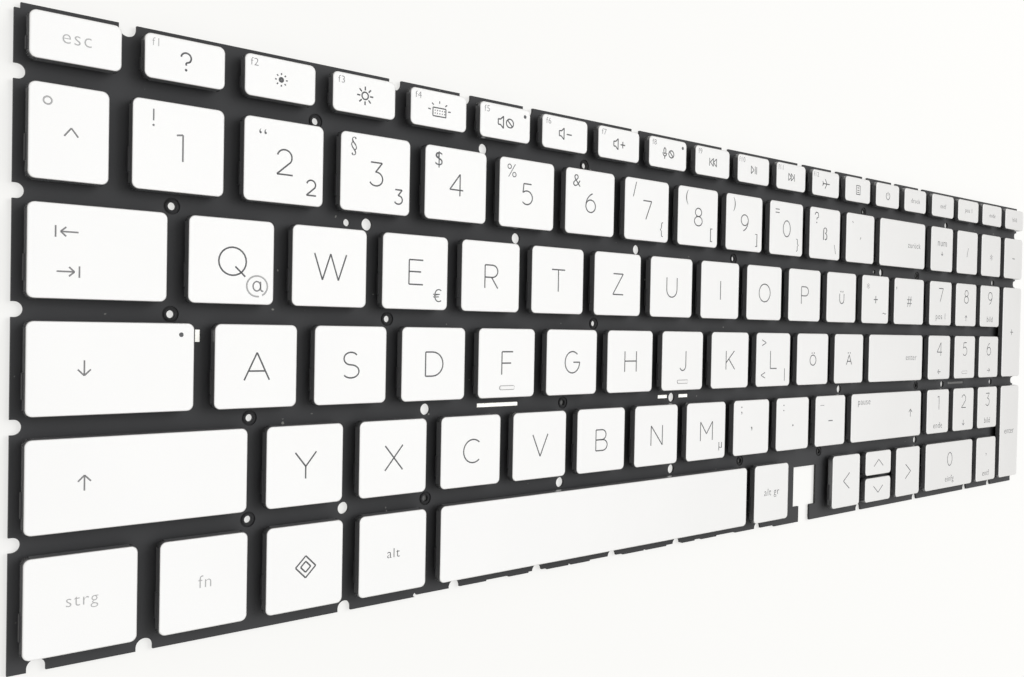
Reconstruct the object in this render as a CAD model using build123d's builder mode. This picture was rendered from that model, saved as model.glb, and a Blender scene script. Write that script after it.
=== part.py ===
"""Backlit laptop keyboard module with a number pad.

The origin is under the middle of the support plate, on the surface that the module lies on.
X runs along the key rows, Y towards the function row and Z out of the key tops.
All sizes are in millimetres.
"""

import os
from collections import namedtuple
from math import asin, atan, degrees

from build123d import *

# Key field
key_pitch = 18.7  # column pitch of the letter keys
row_pitch = 18.05
key_gap = 3.55  # between neighbouring key tops of a row
row_gap = 3.45  # between the key tops of two rows
caret_width = 11.6
tab_width = 20.95
caps_lock_width = 25.65
left_shift_width = 35.3
control_width = 16.9
backspace_width = 27.45
function_count = 16  # function row keys above the main block
function_depth = 7.2
bottom_row_depth = 15.5
arrow_gap = 0.9  # between the up and down keys
bay_width = 22.15  # room for the sensor beside the arrow keys
pad_lead = 4.2  # from the main block to the number pad
pad_pitch = 17.9
pad_gap = 3.4
pad_columns = 4

# Carrier sheets, from the underside up
reflector_thickness = 0.2
guide_thickness = 0.2
plate_thickness = 0.3
membrane_thickness = 0.25
side_margin = 1.5  # plate edge to the outermost key tops
top_margin = 1.45
bottom_margin = 2.75
film_inset = 0.4  # the backlight films end this far inside the plate

# Cut-outs of the carrier sheets
screw_radius = 0.65  # in the plate
screw_relief = 0.75  # wider all round in the membrane
collar_radius = 1.1  # embossed round each screw hole
collar_height = 0.2
through_radius = 1.15
pin_radius = 0.7
hole_drop = 0.25  # the holes lie this far in front of the middle of a row gap
side_notch_width = 2.4
side_notch_depth = 1.7
end_notch_width = 2.8  # at the front and rear edges
end_notch_depth = 2.0
corner_step = 0.9  # the step at the top left corner
front_relief = 0.4  # the front edge is drawn back by this along the space bar
front_recess = 0.25  # and by this much more between its tabs
nick_radius = 0.4
bay_window_width = 11.0
bay_window_depth = 11.4
bay_window_shift = 1.275  # from the middle of the bay towards the arrow keys
bay_window_drop = 2.35  # from the top edge of the bottom row
bay_slot_width = 5.5
light_slot_length = 11.2  # below the two index finger keys and the middle pad key
light_slot_width = 0.9
short_slot_length = 3.5  # each of the two that stand for a long one where a through hole lies between
lamp_slot_length = 2.2  # beside the caps lock key
lamp_slot_drop = 2.1  # from the top edge of the caps lock row

# Key caps
travel = 1.2
skirt_clearance = 0.25  # skirt to membrane with the key pressed
cap_height = 1.6
cap_flare = 0.12  # the skirt is wider than the top by this on each side
cap_wall = 0.62
cap_roof = 0.65
cap_corner = 1.1
cap_edge = 0.22  # rounding of the top edge
homing_length = 4.0
homing_width = 0.8
homing_height = 0.2
homing_inset = 2.1  # from the front edge of the cap

# Scissors, domes and wires
seat = 0.05  # play of what rests on the membrane or under a cap
frame_play = 0.12
frame_thickness = 0.5
frame_bar = 0.8
frame_clearance = 0.15
full_length = 10.0  # outer frame of a full-height key, from front to rear
full_width = 10.2
full_inner_length = 7.6
half_length = 9.0  # outer frame of a half-height key, which lies along the row
half_width = 5.4
half_inner_length = 6.6
hook_clearance = 0.2  # hook to cap roof with the key pressed
hook_window = 1.6  # length of the opening that a hook is bent out of
window_spare = 0.15  # play of the risers in the membrane
full_hook_width = 4.0
half_hook_width = 1.6
dome_foot = 0.25
full_dome_radius = 2.8
full_dome_top = 1.5
full_dome_waist = 1.5  # height where the cone ends
half_dome_radius = 1.7
half_dome_top = 0.7
half_dome_waist = 0.85
wire_diameter = 0.6
wire_inset = 2.6  # from the ends of a long cap
wire_back = 0.95  # from the rear edge of a long cap
wire_reach = 7.2  # how far the wire's legs run
wire_end = 2.0  # inward turn at the foot of each leg
wire_bend = 0.9
wire_threshold = 25.0  # caps longer than this have a wire

# Places that are counted in columns from the left edge of the main block, by the row gap they lie in
screw_columns = {
    0: [2.61, 6.25, 12.56],
    1: [1.21, 9.19, 14.33],
    2: [1.21, 3.47, 6.46],
    3: [1.97],
    4: [1.97],
}
covered_screw_columns = {3: [5.97, 14.39], 4: [3.99, 9.44, 11.43]}  # the backlight films run on below these
through_columns = {
    0: [4.69, 15.34],
    1: [3.21, 5.19, 7.2, 13.15, 17.26],
    3: [3.97, 7.94, 11.96, 15.34, 17.26],
    4: [2.99, 5.95, 7.96, 14.41],
}
pin_columns = {1: [2.976, 12.931]}
bottom_notch_columns = [0.14, 1.02, 3.02, 4.4, 5.61, 6.87, 8.1, 9.89, 12.61, 14.43, 16.3, 17.28]
front_relief_columns = (3.88, 10.3)  # where the relief starts and ends
front_recess_columns = [(4.85, 5.18), (5.48, 5.77), (6.48, 7.07), (7.9, 8.22), (8.48, 8.62), (8.95, 9.37)]
nick_columns = [3.88, 6.14, 7.48]
top_notch_gaps = [0, 3, 4, 5, 7, 9, 11, 12, 13, 14, 15]  # counted between the function keys
left_notch_rows = [0, 1, 2, 3, 4]
right_notch_rows = [0, 1, 3]

Key = namedtuple("Key", "name x y width depth")

# Heights of the stack
plate_bottom = reflector_thickness + guide_thickness
plate_top = plate_bottom + plate_thickness
membrane_top = plate_top + membrane_thickness
skirt_bottom = membrane_top + travel + skirt_clearance
cap_top = skirt_bottom + cap_height
roof_room = travel + skirt_clearance + cap_height - cap_roof  # membrane to the underside of a cap

# Outline of the key field and the plate
key_width = key_pitch - key_gap
key_depth = row_pitch - row_gap
block_width = caret_width + key_gap + 12 * key_pitch + backspace_width
pad_width = pad_columns * pad_pitch - pad_gap
pad_key_width = pad_pitch - pad_gap
plate_width = block_width + pad_lead + pad_width + 2 * side_margin
rows_depth = function_depth + row_gap + 4 * row_pitch + bottom_row_depth
plate_depth = top_margin + rows_depth + bottom_margin
block_left = side_margin - plate_width / 2
block_right = block_left + block_width
pad_left = block_right + pad_lead
number_row_top = plate_depth / 2 - top_margin - function_depth - row_gap


def row_top(row):
    """Top edge of a key row, counted from the number row."""
    return number_row_top - row * row_pitch


def gap_middle(row):
    """Middle of the gap above a key row."""
    return row_top(row) + row_gap / 2


def column(place):
    """X of a place counted in columns from the left edge of the main block."""
    return block_left + place * key_pitch


def gap_places(columns):
    """Places of holes in the row gaps, a little in front of each gap's middle."""
    return [(column(c), gap_middle(row) - hole_drop) for row in columns for c in columns[row]]


def run_of_keys(left, top, depth, gap, names_and_widths):
    """Keys side by side, from a left edge."""
    made = []
    for name, width in names_and_widths:
        made.append(Key(name, left + width / 2, top - depth / 2, width, depth))
        left += width + gap
    return made


def main_row(row, first, first_width, letters, last):
    """A full row of the main block: its last key fills what is left."""
    last_width = block_width - first_width - len(letters) * key_pitch - key_gap
    sizes = [(first, first_width)] + [(name, key_width) for name in letters] + [(last, last_width)]
    return run_of_keys(block_left, row_top(row), key_depth, key_gap, sizes)


def pad_key(name, column_number, row, columns=1, rows=1, depth=key_depth):
    """A number pad key, which may cover two columns or two rows."""
    width = columns * pad_pitch - pad_gap
    height = depth + (rows - 1) * row_pitch
    left = pad_left + column_number * pad_pitch
    return Key(name, left + width / 2, row_top(row) - height / 2, width, height)


# Function row
function_width = (block_width - (function_count - 1) * key_gap) / function_count
function_top = row_top(0) + row_gap + function_depth
function_keys = run_of_keys(
    block_left, function_top, function_depth, key_gap, [("function", function_width)] * function_count
)
function_keys += run_of_keys(
    pad_left, function_top, function_depth, pad_gap, [("function", pad_key_width)] * pad_columns
)

# Main block
digits = ["1", "2", "3", "4", "5", "6", "7", "8", "9", "0", "sharp_s", "acute"]
number_keys = main_row(0, "caret", caret_width, digits, "backspace")
upper_letters = ["q", "w", "e", "r", "t", "z", "u", "i", "o", "p", "u_umlaut", "plus"]
upper_keys = main_row(1, "tab", tab_width, upper_letters, "hash")
home_letters = ["a", "s", "d", "f", "g", "h", "j", "k", "l", "o_umlaut", "a_umlaut"]
home_keys = main_row(2, "caps_lock", caps_lock_width, home_letters, "enter")
lower_letters = ["y", "x", "c", "v", "b", "n", "m", "comma", "period", "minus"]
lower_keys = main_row(3, "left_shift", left_shift_width, lower_letters, "right_shift")

# Bottom row: the space bar fills what the other keys and the sensor bay leave
bottom_top = row_top(4)
arrows_width = 3 * pad_pitch - pad_gap  # the arrow keys are as wide as those of the number pad
space_width = block_width - control_width - 4 * key_pitch - key_gap - bay_width - arrows_width
bottom_sizes = [
    ("control", control_width),
    ("fn", key_width),
    ("system", key_width),
    ("alt", key_width),
    ("space", space_width),
    ("alt_graph", key_width),
]
bottom_keys = run_of_keys(block_left, bottom_top, bottom_row_depth, key_gap, bottom_sizes)
arrow_left = block_right - arrows_width
arrow_depth = (bottom_row_depth - arrow_gap) / 2
side_arrows = [("arrow_left", pad_key_width), ("arrow_right", pad_key_width)]
bottom_keys += run_of_keys(arrow_left, bottom_top, bottom_row_depth, pad_pitch + pad_gap, side_arrows)
for name, drop in [("arrow_up", 0), ("arrow_down", arrow_depth + arrow_gap)]:
    place = (arrow_left + pad_pitch, bottom_top - drop)
    bottom_keys += run_of_keys(*place, arrow_depth, 0, [(name, pad_key_width)])

# Number pad
pad_keys = [pad_key("pad", n, 0) for n in range(pad_columns)]
pad_keys += [pad_key("pad", n, row) for row in (1, 2, 3) for n in range(3) if (n, row) != (1, 2)]
pad_keys += [pad_key("pad_5", 1, 2), pad_key("pad_plus", 3, 1, rows=2)]
pad_keys += [pad_key("pad_enter", 3, 3, rows=2, depth=bottom_row_depth)]
pad_keys += [pad_key("pad_0", 0, 4, columns=2, depth=bottom_row_depth)]
pad_keys += [pad_key("pad_comma", 2, 4, depth=bottom_row_depth)]

moving_keys = upper_keys + home_keys + lower_keys + bottom_keys
all_keys = function_keys + number_keys + moving_keys + pad_keys
full_keys = [key for key in all_keys if key.depth > full_length]
half_keys = [key for key in all_keys if key.depth <= full_length]
homing_names = ["f", "j", "pad_5"]
split_slot_names = ["j"]
homing_keys = [key for key in all_keys if key.name in homing_names]
long_keys = [key for key in all_keys if max(key.width, key.depth) > wire_threshold]
bay_middle = arrow_left - bay_width / 2 + bay_window_shift


def turned(key, turn, z):
    """A key's place at a height, with what stands there turned about Z."""
    return Location((key.x, key.y, z), (0, 0, turn))


def save(name, made):
    made.part.label = name
    export_step(made.part, f"parts/{name}.step")


os.makedirs("parts", exist_ok=True)


# Carrier sheets: one outline with notches, edge tabs, through holes and the sensor bay
def cut_front_step(first, last, depth, inset):
    """A shallow step in the front edge, between two columns."""
    middle, length = (column(first) + column(last)) / 2, column(last) - column(first)
    with Locations((middle, -plate_depth / 2)):
        Rectangle(length + 2 * inset, 2 * (depth + inset), mode=Mode.SUBTRACT)


def draw_outline(inset):
    """The sheet outline, with every edge and cut-out drawn back by an inset."""
    half_width, half_depth = plate_width / 2, plate_depth / 2
    Rectangle(plate_width - 2 * inset, plate_depth - 2 * inset)
    sides = [(-half_width, gap_middle(row)) for row in left_notch_rows]
    sides += [(half_width, gap_middle(row)) for row in right_notch_rows]
    with Locations(*sides):
        SlotOverall(2 * (side_notch_depth + inset), side_notch_width + 2 * inset, mode=Mode.SUBTRACT)
    ends = [(column(place), -half_depth) for place in bottom_notch_columns]
    function_pitch = function_width + key_gap
    first_gap = block_left + function_width + key_gap / 2
    ends += [(first_gap + number * function_pitch, half_depth) for number in top_notch_gaps]
    with Locations(*ends):
        length, width = 2 * (end_notch_depth + inset), end_notch_width + 2 * inset
        SlotOverall(length, width, rotation=90, mode=Mode.SUBTRACT)
    with Locations((-half_width, half_depth)):
        Rectangle(2 * (corner_step + inset), 2 * (corner_step + inset), mode=Mode.SUBTRACT)
    cut_front_step(*front_relief_columns, front_relief, inset)
    for first, last in front_recess_columns:
        cut_front_step(first, last, front_relief + front_recess, inset)
    with Locations(*[(column(place), front_relief - half_depth) for place in nick_columns]):
        Circle(nick_radius + inset, mode=Mode.SUBTRACT)
    for columns, radius in [(through_columns, through_radius), (pin_columns, pin_radius)]:
        with Locations(*gap_places(columns)):
            Circle(radius + inset, mode=Mode.SUBTRACT)
    bay_top = bottom_top - bay_window_drop
    with Locations((bay_middle, bay_top - bay_window_depth / 2)):
        Rectangle(bay_window_width + 2 * inset, bay_window_depth + 2 * inset, mode=Mode.SUBTRACT)
    slot_length = bay_top + half_depth
    with Locations((bay_middle, bay_top - slot_length / 2)):
        Rectangle(bay_slot_width + 2 * inset, slot_length, mode=Mode.SUBTRACT)


open_screw_places = gap_places(screw_columns)
screw_places = open_screw_places + gap_places(covered_screw_columns)


def drill_screws(radius, places):
    with Locations(*places):
        Circle(radius, mode=Mode.SUBTRACT)


def cut_light_slots():
    """Slots that show the light guide below the homing keys and beside the caps lock key."""
    for key in homing_keys:
        slot_y = key.y - (key_depth + row_gap) / 2
        if key.name in split_slot_names:
            off = (light_slot_length - short_slot_length) / 2
            with Locations((key.x - off, slot_y), (key.x + off, slot_y)):
                Rectangle(short_slot_length, light_slot_width, mode=Mode.SUBTRACT)
        else:
            with Locations((key.x, slot_y)):
                Rectangle(light_slot_length, light_slot_width, mode=Mode.SUBTRACT)
    caps_lock = home_keys[0]
    lamp_x = caps_lock.x + (caps_lock.width + key_gap) / 2 - cap_flare
    with Locations((lamp_x, row_top(2) - lamp_slot_drop)):
        Rectangle(light_slot_width, lamp_slot_length, mode=Mode.SUBTRACT)


# Hooks: each is bent up out of the plate beside the lower bar of a scissor frame
hook_height = roof_room - travel - hook_clearance
riser_height = hook_height + membrane_thickness


def hook_places(outer, inner):
    """Middle of the two risers of a scissor, and which way their lips point."""
    off = frame_clearance + plate_thickness / 2
    return [(-outer / 2 - off, 1), (inner / 2 + off, -1)]


def draw_hook_windows(keys, turn, outer, inner, width, length, start):
    """Openings that start at a distance inside the middle of each riser and run outwards."""
    for riser, way in hook_places(outer, inner):
        offset = Vector(0, riser + way * (start - length / 2)).rotate(Axis.Z, turn)
        with Locations(*[(key.x + offset.X, key.y + offset.Y) for key in keys]):
            Rectangle(width, length, rotation=turn, mode=Mode.SUBTRACT)


def make_hooks(outer, inner, width):
    with BuildPart() as hooks:
        for riser, way in hook_places(outer, inner):
            lip_length = plate_thickness + frame_clearance + frame_bar / 2
            lip_middle = riser + way * (lip_length - plate_thickness) / 2
            with Locations((0, riser, riser_height / 2)):
                Box(width, plate_thickness, riser_height)
            with Locations((0, lip_middle, riser_height - plate_thickness / 2)):
                Box(width, lip_length, plate_thickness)
    return hooks.part


full_hooks = make_hooks(full_length, full_inner_length, full_hook_width)
half_hooks = make_hooks(half_length, half_inner_length, half_hook_width)

with BuildPart() as support_plate:
    with BuildSketch(Plane.XY.offset(plate_bottom)):
        draw_outline(0)
        drill_screws(screw_radius, screw_places)
        cut_light_slots()
        window = (hook_window, -plate_thickness / 2)
        draw_hook_windows(full_keys, 0, full_length, full_inner_length, full_hook_width, *window)
        draw_hook_windows(half_keys, 90, half_length, half_inner_length, half_hook_width, *window)
    extrude(amount=plate_thickness)
    with BuildSketch(Plane.XY.offset(plate_top)):
        with Locations(*screw_places):
            Circle(collar_radius)
        drill_screws(screw_radius, screw_places)
    extrude(amount=collar_height)
    with Locations(*[turned(key, 0, plate_top) for key in full_keys]):
        add(full_hooks, clean=False)
    with Locations(*[turned(key, 90, plate_top) for key in half_keys]):
        add(half_hooks, clean=False)
save("support_plate", support_plate)

with BuildPart() as membrane_sheet:
    with BuildSketch(Plane.XY.offset(plate_top)):
        draw_outline(0)
        drill_screws(screw_radius + screw_relief, screw_places)
        cut_light_slots()
        window = (hook_window + plate_thickness + window_spare, (plate_thickness + window_spare) / 2)
        full_window, half_window = full_hook_width + 2 * window_spare, half_hook_width + 2 * window_spare
        draw_hook_windows(full_keys, 0, full_length, full_inner_length, full_window, *window)
        draw_hook_windows(half_keys, 90, half_length, half_inner_length, half_window, *window)
    extrude(amount=membrane_thickness)
save("membrane_sheet", membrane_sheet)

with BuildPart() as light_guide:
    with BuildSketch(Plane.XY.offset(reflector_thickness)):
        draw_outline(film_inset)
        drill_screws(screw_radius + film_inset, open_screw_places)
    extrude(amount=guide_thickness)
save("light_guide", light_guide)

with BuildPart() as reflector_film:
    with BuildSketch():
        draw_outline(film_inset)
        drill_screws(screw_radius + film_inset, open_screw_places)
    extrude(amount=reflector_thickness)
save("reflector_film", reflector_film)


# Scissor frames: two nested rings that cross at their middle
def make_frame(length, width, slope):
    """A flat ring tilted about the row direction; slope is which end stands up."""
    room = roof_room - frame_thickness - 2 * frame_play
    tilt = slope * degrees(asin(room / (length - frame_bar)))
    up = Vector(0, 0, 1).rotate(Axis.X, tilt)
    tilted = Plane(origin=(0, 0, roof_room / 2), x_dir=(1, 0, 0), z_dir=up)
    with BuildPart() as frame:
        with BuildSketch(tilted):
            Rectangle(width, length)
            Rectangle(width - 2 * frame_bar, length - 2 * frame_bar, mode=Mode.SUBTRACT)
        extrude(amount=frame_thickness / 2, both=True)
    return frame.part


def inside(width):
    return width - 2 * (frame_bar + frame_clearance)


with BuildPart() as scissor_outer_frames:
    with Locations(*[turned(key, 0, membrane_top) for key in full_keys]):
        add(make_frame(full_length, full_width, 1), clean=False)
    with Locations(*[turned(key, 90, membrane_top) for key in half_keys]):
        add(make_frame(half_length, half_width, 1), clean=False)
save("scissor_outer_frames", scissor_outer_frames)

with BuildPart() as scissor_inner_frames:
    with Locations(*[turned(key, 0, membrane_top) for key in full_keys]):
        add(make_frame(full_inner_length, inside(full_width), -1), clean=False)
    with Locations(*[turned(key, 90, membrane_top) for key in half_keys]):
        add(make_frame(half_inner_length, inside(half_width), -1), clean=False)
save("scissor_inner_frames", scissor_inner_frames)


# Rubber domes
def make_dome(radius, top, waist):
    with BuildPart() as dome:
        with BuildSketch(Plane.XZ):
            height = roof_room - seat
            foot = [(0, 0), (radius, 0), (radius, dome_foot)]
            Polygon(*foot, (top, waist), (top, height), (0, height), align=None)
        revolve(axis=Axis.Z)
    return dome.part


with BuildPart() as rubber_domes:
    with Locations(*[turned(key, 0, membrane_top) for key in full_keys]):
        add(make_dome(full_dome_radius, full_dome_top, full_dome_waist), clean=False)
    with Locations(*[turned(key, 0, membrane_top) for key in half_keys]):
        add(make_dome(half_dome_radius, half_dome_top, half_dome_waist), clean=False)
save("rubber_domes", rubber_domes)


# Stabiliser wires: a bail under each long cap, with its feet on the membrane
def make_wire(key):
    length, depth = max(key.width, key.depth), min(key.width, key.depth)
    half = length / 2 - wire_inset
    rear = depth / 2 - wire_back
    front = rear - wire_reach
    low = wire_diameter / 2 + seat
    high = roof_room - wire_diameter / 2 - seat
    points = [(half - wire_end, front, low), (half, front, low), (half, rear, high)]
    points += [(-x, y, z) for x, y, z in reversed(points)]
    with BuildPart() as wire:
        with BuildLine() as path:
            FilletPolyline(*points, radius=wire_bend)
        with BuildSketch(path.line ^ 0):
            Circle(wire_diameter / 2)
        sweep()
    return wire.part


with BuildPart() as stabiliser_wires:
    for key in long_keys:
        with Locations(turned(key, 0 if key.width > key.depth else 90, membrane_top)):
            add(make_wire(key))
save("stabiliser_wires", stabiliser_wires)


# Key caps: hollow, with flared sides and a rounded top edge
def draw_cap(key, spread):
    with Locations((key.x, key.y)):
        RectangleRounded(key.width + 2 * spread, key.depth + 2 * spread, cap_corner + max(spread, 0))


def build_cap(key):
    with BuildPart() as cap:
        with BuildSketch(Plane.XY.offset(skirt_bottom)):
            draw_cap(key, cap_flare)
        extrude(amount=cap_height, taper=degrees(atan(cap_flare / cap_height)))
        fillet(cap.faces().sort_by(Axis.Z)[-1].edges(), cap_edge)
        with BuildSketch(Plane.XY.offset(skirt_bottom)):
            draw_cap(key, cap_flare - cap_wall)
        extrude(amount=cap_height - cap_roof, mode=Mode.SUBTRACT)
        if key in homing_keys:
            with BuildSketch(Plane.XY.offset(cap_top)):
                with Locations((key.x, key.y - key.depth / 2 + homing_inset)):
                    SlotOverall(homing_length, homing_width)
            extrude(amount=homing_height)
    return cap


for key in moving_keys:
    save(f"key_{key.name}", build_cap(key))

cap_groups = {
    "function_row_caps": function_keys,
    "number_row_caps": number_keys,
    "number_pad_caps": pad_keys,
}
for group_name, keys in cap_groups.items():
    caps = [build_cap(key).part for key in keys]
    with BuildPart() as cap_group:
        add(caps, clean=False)
    save(group_name, cap_group)
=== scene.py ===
import math
from collections import namedtuple

import bmesh
import bpy
from mathutils import Matrix, Vector


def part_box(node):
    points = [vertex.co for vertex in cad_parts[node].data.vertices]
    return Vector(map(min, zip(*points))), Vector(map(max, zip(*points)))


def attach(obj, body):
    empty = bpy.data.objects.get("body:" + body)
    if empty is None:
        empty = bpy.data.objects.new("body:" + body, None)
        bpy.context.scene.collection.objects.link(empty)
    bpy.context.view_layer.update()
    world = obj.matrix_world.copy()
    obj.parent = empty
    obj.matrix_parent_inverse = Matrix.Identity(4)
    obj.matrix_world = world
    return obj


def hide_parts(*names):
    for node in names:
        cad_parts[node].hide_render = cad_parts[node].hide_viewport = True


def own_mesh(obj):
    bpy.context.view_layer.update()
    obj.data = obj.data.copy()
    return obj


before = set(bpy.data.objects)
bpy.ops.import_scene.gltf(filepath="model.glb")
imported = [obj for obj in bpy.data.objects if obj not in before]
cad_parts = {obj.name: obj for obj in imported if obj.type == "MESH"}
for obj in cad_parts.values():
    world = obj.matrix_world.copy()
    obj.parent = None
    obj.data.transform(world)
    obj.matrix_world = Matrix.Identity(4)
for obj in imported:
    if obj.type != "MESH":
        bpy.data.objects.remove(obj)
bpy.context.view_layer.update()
scene = bpy.context.scene
mm = 0.001  # shapes are drawn in millimetres and scaled once, when a piece is finished
print("frame loaded,", len(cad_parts), "nodes")


# Shared helpers
def addNode(tree, kind, inputs=None, **settings):
    made = tree.nodes.new("ShaderNode" + kind)
    for name, value in settings.items():
        setattr(made, name, value)
    for socket, value in (inputs or {}).items():
        if isinstance(value, bpy.types.NodeSocket):
            tree.links.new(value, made.inputs[socket])
        else:
            made.inputs[socket].default_value = value
    return made


def newMaterial(name, **sockets):
    material = bpy.data.materials.new(name)
    material.use_nodes = True
    tree = material.node_tree
    shader = tree.nodes["Principled BSDF"]
    for socket, value in sockets.items():
        shader.inputs[socket.replace("_", " ")].default_value = value
    return material, tree, shader


def objectNoise(tree, scale, detail=2.0, roughness=0.5):
    place = addNode(tree, "TexCoord").outputs["Object"]
    return addNode(
        tree, "TexNoise", {"Vector": place, "Scale": scale, "Detail": detail, "Roughness": roughness}
    ).outputs["Fac"]


def colourRamp(tree, factor, *stops):
    ramp = addNode(tree, "ValToRGB", {"Fac": factor})
    elements = ramp.color_ramp.elements
    while len(elements) < len(stops):
        elements.new(0.5)
    for element, (place, colour) in zip(elements, stops):
        element.position = place
        element.color = (*colour, 1)
    return ramp.outputs["Color"]


def mixColours(tree, factor, first, second, blend="MIX"):
    mix = addNode(tree, "Mix", data_type="RGBA", blend_type=blend)
    for socket, value in ((0, factor), (6, first), (7, second)):
        if isinstance(value, bpy.types.NodeSocket):
            tree.links.new(value, mix.inputs[socket])
        else:
            mix.inputs[socket].default_value = value if socket == 0 else (*value, 1)
    return mix.outputs[2]


def bumpFrom(tree, shader, height, strength, distance):
    bump = addNode(tree, "Bump", {"Height": height, "Strength": strength, "Distance": distance})
    tree.links.new(bump.outputs["Normal"], shader.inputs["Normal"])


def seenDirectly(tree):
    rays = addNode(tree, "LightPath").outputs
    seen = addNode(tree, "Math", {0: rays["Is Camera Ray"], 1: rays["Is Glossy Ray"]}, operation="MAXIMUM")
    seen = addNode(tree, "Math", {0: seen.outputs[0], 1: rays["Is Transmission Ray"]}, operation="MAXIMUM")
    return seen.outputs[0]


def finishPiece(name, bm, materials, body):
    bmesh.ops.scale(bm, vec=(mm, mm, mm), verts=bm.verts)
    mesh = bpy.data.meshes.new(name)
    bm.to_mesh(mesh)
    bm.free()
    for material in materials:
        mesh.materials.append(material)
    piece = bpy.data.objects.new(name, mesh)
    scene.collection.objects.link(piece)
    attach(piece, body)
    return piece


def joinShape(bm, part, materialIndex=0):
    known = set(bm.faces)
    bm.from_mesh(part)
    for face in bm.faces:
        if face not in known:
            face.material_index = materialIndex
    bpy.data.meshes.remove(part)


def shapeToMesh(bm):
    mesh = bpy.data.meshes.new("shape")
    bm.to_mesh(mesh)
    bm.free()
    return mesh


def curveToMesh(curve):
    holder = bpy.data.objects.new("curve", curve)
    mesh = bpy.data.meshes.new_from_object(holder)
    bpy.data.objects.remove(holder)
    bpy.data.curves.remove(curve)
    return mesh


def tubeMesh(runs, radius, roundness):
    curve = bpy.data.curves.new("tube", "CURVE")
    curve.dimensions = "3D"
    curve.bevel_depth = radius
    curve.bevel_resolution = roundness
    curve.use_fill_caps = True
    for run in runs:
        spline = curve.splines.new("POLY")
        spline.points.add(len(run) - 1)
        for point, place in zip(spline.points, run):
            point.co = (*place, 1)
    return curveToMesh(curve)


def topFace(bm):
    return max(bm.faces, key=lambda face: face.calc_center_median().z)


def uprightEdges(bm, tall):
    return [edge for edge in bm.edges if abs(edge.verts[0].co.z - edge.verts[1].co.z) > tall / 2]


def roundEdges(bm, edges, offset, segments, smooth=False):
    made = bmesh.ops.bevel(
        bm, geom=edges, offset=offset, segments=segments, affect="EDGES", profile=0.5, material=-1
    )
    for face in made["faces"]:
        face.smooth = smooth


def spinRound(bm, steps):
    bmesh.ops.spin(
        bm,
        geom=bm.verts[:] + bm.edges[:],
        cent=(0, 0, 0),
        axis=(0, 0, 1),
        angle=2 * math.pi,
        steps=steps,
        use_merge=True,
    )
    bmesh.ops.remove_doubles(bm, verts=bm.verts, dist=0.001)
    bmesh.ops.recalc_face_normals(bm, faces=bm.faces)


# Camera at the photograph's viewing angle
cameraPlace = {
    "location": (-203.65, 3.805, 161.21),
    "right": (0.77477, 0.01931, 0.63195),
    "down": (0.00572, -0.99971, 0.02353),
    "sensor": 36,
    "imageWidth": 1024,
    "focal": 955,  # in pixels, as the shift is
    "shift": (-1.3, 0.7),
    "clipStart": 0.01,
}
camera = bpy.data.objects.new("camera", bpy.data.cameras.new("camera"))
scene.collection.objects.link(camera)
right = Vector(cameraPlace["right"]).normalized()
up = -Vector(cameraPlace["down"])
up = (up - up.dot(right) * right).normalized()
turn = Matrix((right, up, right.cross(up))).transposed().to_4x4()
camera.matrix_world = Matrix.Translation(Vector(cameraPlace["location"]) * mm) @ turn
camera.data.sensor_width = cameraPlace["sensor"]
camera.data.lens = cameraPlace["sensor"] * cameraPlace["focal"] / cameraPlace["imageWidth"]
camera.data.shift_x, camera.data.shift_y = (off / cameraPlace["imageWidth"] for off in cameraPlace["shift"])
camera.data.clip_start = cameraPlace["clipStart"]
scene.camera = camera
print("camera placed")

# Light: an even white surround, a little dimmer at the horizon, and one wide soft lamp
lightLevels = {
    "zenith": (1.07, 1.07, 1.065),
    "zenithFrom": 0.6,
    "horizon": (0.61, 0.595, 0.575),
    "horizonTo": 0.32,
    "fill": 0.55,  # what matte surfaces get of the surround
    "lamp": 22.0,
    "lampSize": 1.2,
    "lampPlace": (0.9, 0.45, 1.5),
}
scene.world = scene.world or bpy.data.worlds.new("surround")
scene.world.use_nodes = True
worldTree = scene.world.node_tree
direction = addNode(worldTree, "TexCoord").outputs["Generated"]
height = addNode(worldTree, "SeparateXYZ", {"Vector": direction}).outputs["Z"]
low = (lightLevels["horizonTo"], lightLevels["horizon"])
high = (lightLevels["zenithFrom"], lightLevels["zenith"])
sky = colourRamp(worldTree, height, low, high)
level = addNode(worldTree, "MapRange", {"Value": seenDirectly(worldTree), "To Min": lightLevels["fill"]})
surround = worldTree.nodes["Background"]
worldTree.links.new(sky, surround.inputs["Color"])
worldTree.links.new(level.outputs["Result"], surround.inputs["Strength"])
lamp = bpy.data.objects.new("softLamp", bpy.data.lights.new("softLamp", "AREA"))
lamp.data.size = lightLevels["lampSize"]
lamp.data.energy = lightLevels["lamp"]
lamp.location = lightLevels["lampPlace"]
lamp.rotation_euler = (-Vector(lamp.location)).to_track_quat("-Z", "Y").to_euler()
lamp.visible_glossy = False
scene.collection.objects.link(lamp)
scene.view_settings.view_transform = "Standard"

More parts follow.
